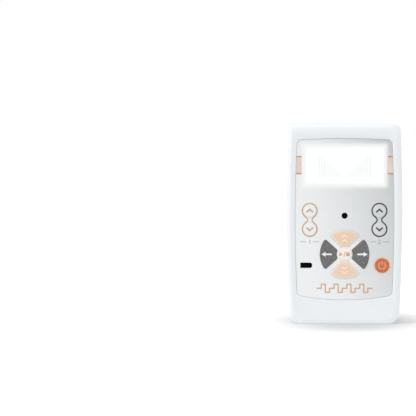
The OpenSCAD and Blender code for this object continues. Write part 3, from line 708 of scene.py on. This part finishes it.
def inner_holes():
    """Screw bores, light guide holes, slot for the switch tail, and openings for the sockets."""
    bm = bmesh.new()
    for x, y in mirrored(SCREW_PLACES):
        pillar(bm, SCREW_BORE_R, x, y, SEAM_Z - OVERCUT, SEAM_Z + SCREW_BITE)
    for x, y in mirrored(POST_PLACES):
        pillar(bm, POST_BORE_R, x, y, BOARD_TOP - OVERCUT, BOARD_TOP + POST_BITE)
    for x, y in ((0, STATUS_Y), (-BATTERY_LIGHT_X, BATTERY_LIGHT_Y)):
        pillar(bm, GUIDE_HOLE_R, x, y, CEILING_Z - OVERCUT, FRONT_Z)
    slot = bmesh.ops.create_cube(bm, size=1.0)["verts"]
    bmesh.ops.scale(bm, verts=slot, vec=(*TAIL_SLOT, FRONT_Z - CEILING_Z))
    move(bm, slot, (0, TAIL_Y, (FRONT_Z + CEILING_Z) / 2))
    for x in (-JACK_X, JACK_X):
        opening = rod(bm, JACK_HOLE_R, 4 * WALL, 64)
        turn(bm, opening, 90, "X")
        move(bm, opening, (x, BODY_H, SEAM_Z))
    return bm


def front_casing():
    """Front half: seam groove, crowned rim, panel recess and window opening in one closed skin."""
    wall = casing_shape(0, 0, 0, BOTTOM_R, TOP_R)
    crest = casing_shape(RIM_SIDE, RIM_TOP, RIM_BOTTOM, *CREST_R)
    edge = panel_shape(PANEL_GAP + RECESS_EDGE)
    rings = [inset_loop(SEAM_GROOVE, SEAM_Z), inset_loop(0, SEAM_Z + SEAM_GROOVE)]
    for i in range(RIM_STEPS + 1):
        a = math.radians(90) * i / RIM_STEPS
        shape = between(wall, crest, 1 - math.cos(a))
        rings.append(shape_loop(shape, FRONT_Z - RIM_D * (1 - math.sin(a))))
    for i in range(1, CREST_STEPS):
        past = i / CREST_STEPS
        rings.append(shape_loop(between(crest, edge, past), FRONT_Z - CREST_FALL * past * past))
    for i in range(RECESS_STEPS + 1):
        a = math.radians(90) * i / RECESS_STEPS
        rings.append(panel_loop(PANEL_GAP + RECESS_EDGE * (1 - math.sin(a)),
                                FRONT_Z - CREST_FALL - RECESS_EDGE * (1 - math.cos(a))))
    rings += [panel_loop(PANEL_GAP, RECESS_Z), window_loop(-WINDOW_LEDGE, RECESS_Z),
              window_loop(-WINDOW_LEDGE, CEILING_Z), inset_loop(WALL, CEILING_Z),
              inset_loop(WALL, SEAM_Z + LIP_STEP), inset_loop(WALL / 2, SEAM_Z + LIP_STEP),
              inset_loop(WALL / 2, SEAM_Z)]
    piece = make_piece("casing_front", bridge_rings(rings, True), casing_white,
                       stands_for=("front_casing",))
    combine(piece, inner_bosses(), "UNION")
    combine(piece, inner_holes(), "DIFFERENCE")
    bm = bmesh.new()
    bm.from_mesh(piece.data)
    bmesh.ops.remove_doubles(bm, verts=bm.verts, dist=TINY * MM)
    shade(bm)
    bm.to_mesh(piece.data)
    bm.free()
    even_shading(piece)


front_casing()
smooth_copy("rear_casing", "casing_rear", casing_white, "casing")
smooth_copy("battery_door", "bay_door", casing_white, "battery_door")


# Display window and lenses

def slab(face_bm, top_z, edge):
    """Flat piece raised from its outline, with a soft upper edge."""
    face = face_bm.faces[:][0]
    top = extrude_up(face_bm, face, top_z - face.verts[0].co.z)
    bevel(face_bm, top.edges[:], edge, SOFT_STEPS, "EDGES")
    return face_bm


def window_pane():
    outline = rounded_face(WINDOW_HW, WINDOW_Y - WINDOW_HH, WINDOW_Y + WINDOW_HH,
                           WINDOW_R, WINDOW_R, z=RECESS_Z, cuts=0)
    make_piece("window_pane", slab(outline, FILM_Z, PANE_EDGE), window_clear,
               stands_for=("display_window",))


def lens(name, outline, x, y, node):
    """Smoked lens with the light guide behind it."""
    bm = slab(outline, FILM_Z, LENS_EDGE)
    join_into(bm, slab(disc(GUIDE_R, x, y, GUIDE_Z, 32), LENS_Z - TINY, GUIDE_EDGE))
    make_piece(name, bm, black_lens, stands_for=(node,))


def battery_outline():
    half_w, half_h = BATTERY_LIGHT_W / 2, BATTERY_LIGHT_H / 2
    shape = [(-half_w, -half_h), (half_w - half_h / 2, -half_h), (half_w, -half_h / 2),
             (half_w, half_h / 2), (half_w - half_h / 2, half_h), (-half_w, half_h)]
    points = [(x - BATTERY_LIGHT_X, y + BATTERY_LIGHT_Y) for x, y in shape]
    return flat_shape(points, LENS_Z, BATTERY_LIGHT_R)


window_pane()
lens("status_lens", disc(STATUS_R, 0, STATUS_Y, LENS_Z), 0, STATUS_Y, "status_light")
lens("battery_lens", battery_outline(), -BATTERY_LIGHT_X, BATTERY_LIGHT_Y, "battery_light")


# Keys

def raise_key(bm):
    """Key from the outline of its flange: flange, then the pad with a soft edge."""
    flange = extrude_up(bm, bm.faces[:][0], KEY_FLANGE_T)
    bmesh.ops.inset_region(bm, faces=[flange], thickness=KEY_FLANGE, use_even_offset=True,
                           use_boundary=True)
    pad = extrude_up(bm, flange, KEY_TOP - KEY_FLANGE_Z - KEY_FLANGE_T)
    bevel(bm, pad.edges[:], KEY_EDGE, SOFT_STEPS, "EDGES")
    return bm


def round_key(name, radius, x, y, finish):
    bm = raise_key(disc(radius + KEY_FLANGE, x, y, KEY_FLANGE_Z, 72))
    make_piece(name + "_pad", bm, finish, body=name, stands_for=(name,))


def arc_points(radius, offset, steps):
    """Row of points on an arc between the two sides of a menu key."""
    reach = MENU_HALF - math.asin(offset / radius)
    angles = [reach * (2 * i / steps - 1) for i in range(steps + 1)]
    return [(radius * math.sin(a), radius * math.cos(a)) for a in angles]


def sector_outline(grow):
    """Flange outline of the upper menu key: two arcs and two slanting sides with round corners."""
    outer, inner = MENU_R + grow, MENU_INNER_R - grow
    offset = MENU_GAP / 2 - grow
    outer_steps, inner_steps = 8, 3
    shortest, near = 0.8, 0.6
    points = arc_points(outer, offset, outer_steps) + arc_points(inner, offset, inner_steps)[::-1]
    bm = flat_shape(points, KEY_FLANGE_Z)
    bm.verts.ensure_lookup_table()
    corners = [bm.verts[i] for i in (0, outer_steps, outer_steps + 1, len(points) - 1)]
    bevel(bm, corners, MENU_CORNER + grow, 5, "VERTICES")
    arcs = []
    for e in bm.edges:
        far = [v.co.xy.length for v in e.verts]
        if e.calc_length() > shortest and (min(far) > outer - near or max(far) < inner + near):
            arcs.append(e)
    cuts = bmesh.ops.subdivide_edges(bm, edges=arcs, cuts=3)["geom_inner"]
    for v in corners_of(cuts):
        radius = outer if v.co.xy.length > (outer + inner) / 2 else inner
        v.co.xy = v.co.xy.normalized() * radius
    return bm


def menu_key(name, degrees, finish):
    bm = raise_key(sector_outline(KEY_FLANGE))
    turn(bm, bm.verts, degrees)
    move(bm, bm.verts, (0, MENU_Y, 0))
    make_piece(name + "_pad", bm, finish, body=name, stands_for=(name,))


for channel, side in ((1, -1), (2, 1)):
    for way, y in (("up", CHANNEL_UP_Y), ("down", CHANNEL_DOWN_Y)):
        name = f"channel_{channel}_{way}_key"
        round_key(name, CHANNEL_R, side * CHANNEL_X, y, key_film)
menu_key("menu_up_key", 0, peach_film)
menu_key("menu_down_key", 180, peach_film)
menu_key("back_key", 90, grey_film)
menu_key("next_key", 270, grey_film)
round_key("start_stop_key", START_R, 0, MENU_Y, white_film)
round_key("power_key", POWER_R, POWER_X, POWER_Y, orange_film)


# Printed marks

def print_mark(name, bm, colour, body="casing"):
    """Gives a flat mark its ink thickness and lays it on its surface."""
    made = bmesh.ops.extrude_face_region(bm, geom=bm.faces[:])["geom"]
    move(bm, corners_of(made), (0, 0, INK_T))
    make_piece(name, bm, colour, body=body)


def stroke(points, width, z):
    """Flat line of even width through a row of points, mitred at its bends."""
    bm = bmesh.new()
    path = [Vector(p) for p in points]
    ways = [(b - a).normalized() for a, b in zip(path, path[1:])]
    last = []
    for i, point in enumerate(path):
        before, after = ways[max(i - 1, 0)], ways[min(i, len(ways) - 1)]
        side = Vector((-before.y - after.y, before.x + after.x)).normalized()
        side *= width / 2 / side.dot((-before.y, before.x))
        ends = [(*(point + side), z), (*(point - side), z)]
        if last:
            made = bmesh.ops.extrude_edge_only(bm, edges=[bm.edges.get(last)])["geom"]
            last = sorted(corners_of(made), key=lambda v: (v.co - last[0].co).length)
            for v, place in zip(last, ends):
                v.co = place
        else:
            last = [bm.verts.new(place) for place in ends]
            bm.edges.new(last)
    return bm


def digit(text, height, x, y, z):
    """Upright numeral as flat faces, centred on a point."""
    curve = bpy.data.curves.new("numeral", "FONT")
    curve.body = text
    curve.align_x, curve.align_y = "CENTER", "CENTER"
    curve.size = height / DIGIT_SHARE
    holder = bpy.data.objects.new("numeral", curve)
    bpy.context.scene.collection.objects.link(holder)
    mesh = finished_mesh(holder)
    bm = bmesh.new()
    bm.from_mesh(mesh)
    bmesh.ops.remove_doubles(bm, verts=bm.verts, dist=TINY)
    move(bm, bm.verts, (x, y, z))
    bpy.data.objects.remove(holder)
    bpy.data.curves.remove(curve)
    bpy.data.meshes.remove(mesh)
    return bm


def chevron(x, y, half_w, rise, line):
    """Pointed arch of two strokes on a key; a negative rise points down."""
    foot, tip = y - rise / 2, y + rise / 2
    return stroke([(x - half_w, foot), (x, tip), (x + half_w, foot)], line, KEY_TOP)


def arc(radius, start, sweep, steps, x=0.0, y=0.0):
    angles = [math.radians(start + sweep * i / steps) for i in range(steps + 1)]
    return [(x + radius * math.cos(a), y + radius * math.sin(a)) for a in angles]


def together(*shapes):
    for other in shapes[1:]:
        join_into(shapes[0], other)
    return shapes[0]


def hourglass(x, line):
    """Closed line round a channel's two keys, drawn in at the waist."""
    half = (CHANNEL_UP_Y - CHANNEL_DOWN_Y) / 2
    middle = (CHANNEL_UP_Y + CHANNEL_DOWN_Y) / 2
    out = OUTLINE_WAIST + OUTLINE_NECK
    touch = math.acos((OUTLINE_R + OUTLINE_NECK) / math.hypot(out, half))
    lean = math.degrees(math.atan2(half, out) - touch)
    right = (arc(OUTLINE_R, 90, -90 - lean, 30, 0, half)
             + arc(OUTLINE_NECK, 180 - lean, 2 * lean, 10, out)
             + arc(OUTLINE_R, lean, -90 - lean, 30, 0, -half))
    bm = stroke(right, line, FILM_Z)
    bmesh.ops.mirror(bm, geom=bm.verts[:] + bm.edges[:] + bm.faces[:], matrix=Matrix.Identity(4),
                     merge_dist=TINY, axis="X")
    move(bm, bm.verts, (x, middle, 0))
    return bm


def window_border():
    """White print that covers the pane's edge and its ledge."""
    inner, outer = -1.5 * WINDOW_LEDGE, 0.3
    return bridge_rings([window_loop(inner, FILM_Z), window_loop(outer, FILM_Z)], False)


def channel_label(text, x):
    """Channel number between two short rules."""
    near, far = LABEL_RULE
    rules = [stroke([(x + a, LABEL_Y), (x + b, LABEL_Y)], LABEL_LINE, FILM_Z)
             for a, b in ((-far, -near), (near, far))]
    return together(digit(text, LABEL_H, x, LABEL_Y, FILM_Z), *rules)


def arrow(way, x):
    """Solid arrow that points left or right."""
    reach, neck, head, shaft = 3.8, 0.8, 1.75, 0.6
    shape = [(-reach, 0), (-neck, head), (-neck, shaft), (reach, shaft), (reach, -shaft),
             (-neck, -shaft), (-neck, -head)]
    bm = flat_shape([(px, py + MENU_Y) for px, py in shape], KEY_TOP)
    if way > 0:
        bmesh.ops.scale(bm, verts=bm.verts, vec=(-1, 1, 1))
    move(bm, bm.verts, (x, 0, 0))
    return bm


def start_stop_signs():
    """Start triangle, slash and stop square."""
    near, far, tall, square = 1.1, 3.8, 1.5, 1.35
    lean, reach, line = 0.55, 2.0, 0.5
    start = [(-far, -tall), (-near, 0), (-far, tall)]
    stop = [(near, -square), (far, -square), (far, square), (near, square)]
    slash = stroke([(-lean, MENU_Y - reach), (lean, MENU_Y + reach)], line, KEY_TOP)
    solids = [flat_shape([(x, y + MENU_Y) for x, y in shape], KEY_TOP) for shape in (start, stop)]
    return together(solids[0], slash, solids[1])


def power_sign():
    """Open ring and upright bar."""
    radius, line, foot, tip = 2.5, 0.75, 0.3, 3.3
    bar = stroke([(POWER_X, POWER_Y + foot), (POWER_X, POWER_Y + tip)], line, KEY_TOP)
    return together(stroke(arc(radius, 125, 290, 36, POWER_X, POWER_Y), line, KEY_TOP), bar)


def film_edge(y):
    """Half width of the film at a height."""
    along = (2 * y - PANEL_Y0 - PANEL_Y1) / (PANEL_Y1 - PANEL_Y0)
    return PANEL_HW - PANEL_BOW[0] * along * along


def side_stripe(side, y0, y1):
    """Stripe from the window's border to the edge of the film."""
    start, steps = WINDOW_HW + STRIPE_START, 6
    heights = [y0 + (y1 - y0) * i / steps for i in range(steps + 1)]
    shape = [(start, y1), (start, y0)] + [(film_edge(y) - STRIPE_GAP, y) for y in heights]
    return flat_shape([(side * x, y) for x, y in shape], FILM_Z)


def pulse_line():
    """Row of square pulses, up and then down, on one base line."""
    x = -(PULSES * (2 * PULSE_W + PULSE_LEAD) + PULSE_LEAD) / 2
    points = [(x, 0)]
    for _ in range(PULSES):
        x += PULSE_LEAD
        middle, end = x + PULSE_W, x + 2 * PULSE_W
        points += [(x, 0), (x, PULSE_H), (middle, PULSE_H),
                   (middle, -PULSE_H), (end, -PULSE_H), (end, 0)]
        x = end
    points.append((x + PULSE_LEAD, 0))
    return stroke([(px, py + PULSE_Y) for px, py in points], PULSE_LINE, FILM_Z)


print_mark("window_border", window_border(), film)
for channel, side, colour, line in ((1, -1, tan_ink, 0.85), (2, 1, dark_ink, 0.95)):
    print_mark(f"channel_{channel}_outline", hourglass(side * CHANNEL_X, line), colour)
    print_mark(f"channel_{channel}_number", channel_label(str(channel), side * CHANNEL_X), grey_ink)
    for way, y, turned in (("up", CHANNEL_UP_Y, 1), ("down", CHANNEL_DOWN_Y, -1)):
        mark = chevron(side * CHANNEL_X, y, LEVEL_ARROW_W, turned * LEVEL_ARROW_RISE,
                       LEVEL_ARROW_LINE)
        print_mark(f"channel_{channel}_{way}_arrow", mark, colour,
                   f"channel_{channel}_{way}_key")
for way, turned in (("up", 1), ("down", -1)):
    rise = turned * MENU_ARROW_RISE
    marks = [chevron(0, MENU_Y + turned * out, MENU_ARROW_W, rise, MENU_ARROW_LINE)
             for out in MENU_ARROW_OUT]
    print_mark(f"menu_{way}_arrows", together(*marks), cream_ink, f"menu_{way}_key")
print_mark("back_arrow", arrow(-1, -SIDE_ARROW_X), white_ink, "back_key")
print_mark("next_arrow", arrow(1, SIDE_ARROW_X), white_ink, "next_key")
print_mark("start_stop_marks", start_stop_signs(), tan_ink, "start_stop_key")
print_mark("power_mark", power_sign(), amber_ink, "power_key")
for name, side in (("left", -1), ("right", 1)):
    print_mark(f"{name}_stripe", side_stripe(side, STRIPE_Y0, STRIPE_Y1), peach_ink)
    edges = together(side_stripe(side, STRIPE_Y0 - STRIPE_EDGE, STRIPE_Y0),
                     side_stripe(side, STRIPE_Y1, STRIPE_Y1 + STRIPE_EDGE))
    print_mark(f"{name}_stripe_edges", edges, copper_ink)
print_mark("pulse_line", pulse_line(), tan_ink)


# Battery cells and springs

def cell():
    """Turned dry cell, flat end first: jacket rolled in at both ends, ring groove and tip."""
    flat_end = [(0, 0), (5.6, 0), (5.9, 0.35), (6.4, 0.35), (6.7, 0.1), (7.0, 0.15), (CELL_R, 0.5)]
    sides = [(CELL_R, BAND_Y0), (CELL_R, BAND_Y1), (CELL_R, 48.5)]
    shoulder = [(7.0, 49.1), (6.5, 49.4), (6.2, 49.1), (3.4, 49.1), (TIP_R, 49.5)]
    tip = [(TIP_R, CELL_L - TIP_EDGE), (TIP_R - TIP_EDGE, CELL_L), (0, CELL_L)]
    outline = flat_end + sides + shoulder + tip
    bm = bmesh.new()
    verts = [bm.verts.new((r, y, 0)) for r, y in outline]
    edges = [bm.edges.new(pair) for pair in zip(verts, verts[1:])]
    bmesh.ops.spin(bm, geom=verts + edges, cent=(0, 0, 0), axis=(0, 1, 0), dvec=(0, 0, 0),
                   angle=math.radians(360), steps=56, use_merge=True, use_duplicate=False)
    for face in bm.faces:
        y = face.calc_center_median().y
        bare = y < BARE_Y0 or y > BARE_Y1
        face.material_index = 1 if BAND_Y0 < y < BAND_Y1 else 2 if bare else 0
    return bm


def spring():
    """Round wire wound round the axis of a cell."""
    steps = 28
    pitch = (SPRING_L - SPRING_WIRE - 2 * SPRING_CLEAR) / SPRING_TURNS
    bm = bmesh.new()
    bmesh.ops.create_circle(bm, cap_ends=False, segments=12, radius=SPRING_WIRE / 2)
    move(bm, bm.verts, (SPRING_R, CONTACT_T + SPRING_CLEAR + SPRING_WIRE / 2, 0))
    bmesh.ops.spin(bm, geom=bm.verts[:] + bm.edges[:], cent=(0, 0, 0), axis=(0, -1, 0),
                   dvec=(0, pitch / steps, 0), angle=math.radians(360 * SPRING_TURNS),
                   steps=steps * SPRING_TURNS, use_duplicate=False)
    bmesh.ops.holes_fill(bm, edges=[e for e in bm.edges if e.is_boundary], sides=0)
    return bm


def in_bay(shape, start):
    """One copy for each cell, every second one turned end for end."""
    row = bmesh.new()
    for i in range(CELLS):
        bm = shape()
        move(bm, bm.verts, (0, start - (BAY_Y1 - BAY_Y0) / 2, 0))
        turn(bm, bm.verts, 180 * (i % 2))
        x = (i - (CELLS - 1) / 2) * CELL_PITCH
        move(bm, bm.verts, (x, (BAY_Y0 + BAY_Y1) / 2, CELL_Z))
        join_into(row, bm)
    return row


make_piece("cell_row", in_bay(cell, CONTACT_T + SPRING_L), [jacket, jacket_band, nickel],
           stands_for=("battery_cells",))
make_piece("contact_coils", in_bay(spring, 0), nickel,
           stands_for=("battery_springs",))


# Stage

def seen_rays(tree):
    """One for rays that show the background: from the camera, in gloss and through glass."""
    path = tree.nodes.new("ShaderNodeLightPath").outputs
    seen = math_node(tree, "MAXIMUM", path["Is Camera Ray"], path["Is Transmission Ray"])
    return math_node(tree, "MAXIMUM", seen, path["Is Glossy Ray"])


def floor():
    """Pale ground that keeps the lamps' shadows, with a painted shadow pool by the unit that runs
    out to white away from it, and a painted glow near the unit that brightens its lower edge.
    """
    half, stretch, painted_shadow_place, painted_shadow_fade = 6.0, (2.0, 0.72, 0), (0.012, 0.022, 0), (0.03, 0.19)
    shown_near, shown_more, painted_glow_near, painted_glow_less = 0.12, 0.60, 0.50, 0.11
    bm = bmesh.new()
    bmesh.ops.create_grid(bm, x_segments=1, y_segments=1, size=half)
    mesh = bpy.data.meshes.new("floor")
    bm.to_mesh(mesh)
    bm.free()
    ground = bpy.data.objects.new("floor", mesh)
    bpy.context.scene.collection.objects.link(ground)
    material, tree, shader = new_material("pale_floor", 0.9)
    shader.inputs["Base Color"].default_value = (0.52, 0.52, 0.525, 1)
    shader.inputs["Specular IOR Level"].default_value = 0.0
    shader.inputs["Emission Color"].default_value = (1, 1, 1, 1)
    spread = tree.nodes.new("ShaderNodeVectorMath")
    spread.operation = "MULTIPLY"
    spread.inputs[1].default_value = stretch
    tree.links.new(object_point(tree), spread.inputs[0])
    away = tree.nodes.new("ShaderNodeVectorMath")
    away.operation = "DISTANCE"
    away.inputs[1].default_value = painted_shadow_place
    tree.links.new(spread.outputs["Vector"], away.inputs[0])
    white = soft_step(tree, away.outputs["Value"], *painted_shadow_fade)
    # Camera, gloss and glass rays see the painted shadow: dim near the unit, white away from it
    shown = math_node(tree, "ADD", math_node(tree, "MULTIPLY", white, shown_more), shown_near)
    # Other rays get the painted glow: strongest near the unit and weaker away from it
    loss = math_node(tree, "MULTIPLY", white, painted_glow_less)
    painted_glow = math_node(tree, "SUBTRACT", painted_glow_near, loss)
    gain = math_node(tree, "SUBTRACT", shown, painted_glow)
    change = math_node(tree, "MULTIPLY", seen_rays(tree), gain)
    tree.links.new(math_node(tree, "ADD", painted_glow, change), shader.inputs["Emission Strength"])
    mesh.materials.append(material)


def backdrop_light():
    """Even pale light from all round, seen as white."""
    world = bpy.data.worlds.new("studio")
    bpy.context.scene.world = world
    world.use_nodes = True
    tree = world.node_tree
    back = tree.nodes["Background"]
    colour = mix_colours(tree, seen_rays(tree), (0.58, 0.59, 0.60, 1), (1, 1, 1, 1))
    tree.links.new(colour, back.inputs["Color"])
    back.inputs["Strength"].default_value = 1.0


def soft_lamp(name, place, size, power):
    data = bpy.data.lights.new(name, "AREA")
    data.shape = "DISK"
    data.size = size
    data.energy = power
    lamp = bpy.data.objects.new(name, data)
    lamp.location = place
    lamp.rotation_euler = (Vector(LAMP_AIM) - Vector(place)).to_track_quat("-Z", "Y").to_euler()
    bpy.context.scene.collection.objects.link(lamp)


def photo_camera():
    """Long lens square on to the unit, a little above it, with the unit right of the middle."""
    scale = PHOTO_SCALE * MM
    middle = Vector((0, -FILM_Z * MM, BODY_H / 2 * MM))
    data = bpy.data.cameras.new("photo_camera")
    data.sensor_width = SENSOR
    data.lens = SENSOR * CAMERA_AWAY / (FRAME_PX * scale)
    camera = bpy.data.objects.new("photo_camera", data)
    away = Vector((0, -math.cos(CAMERA_TILT), math.sin(CAMERA_TILT)))
    camera.location = middle + CAMERA_AWAY * away
    aim = middle + scale * Vector((FRAME_PX / 2 - UNIT_PX_X, 0, UNIT_PX_Y - FRAME_PX / 2))
    camera.rotation_euler = (aim - camera.location).to_track_quat("-Z", "Y").to_euler()
    bpy.context.scene.collection.objects.link(camera)
    bpy.context.scene.camera = camera


floor()
backdrop_light()
for lamp in LAMPS:
    soft_lamp(*lamp)
photo_camera()
bpy.context.scene.view_settings.view_transform = "Standard"
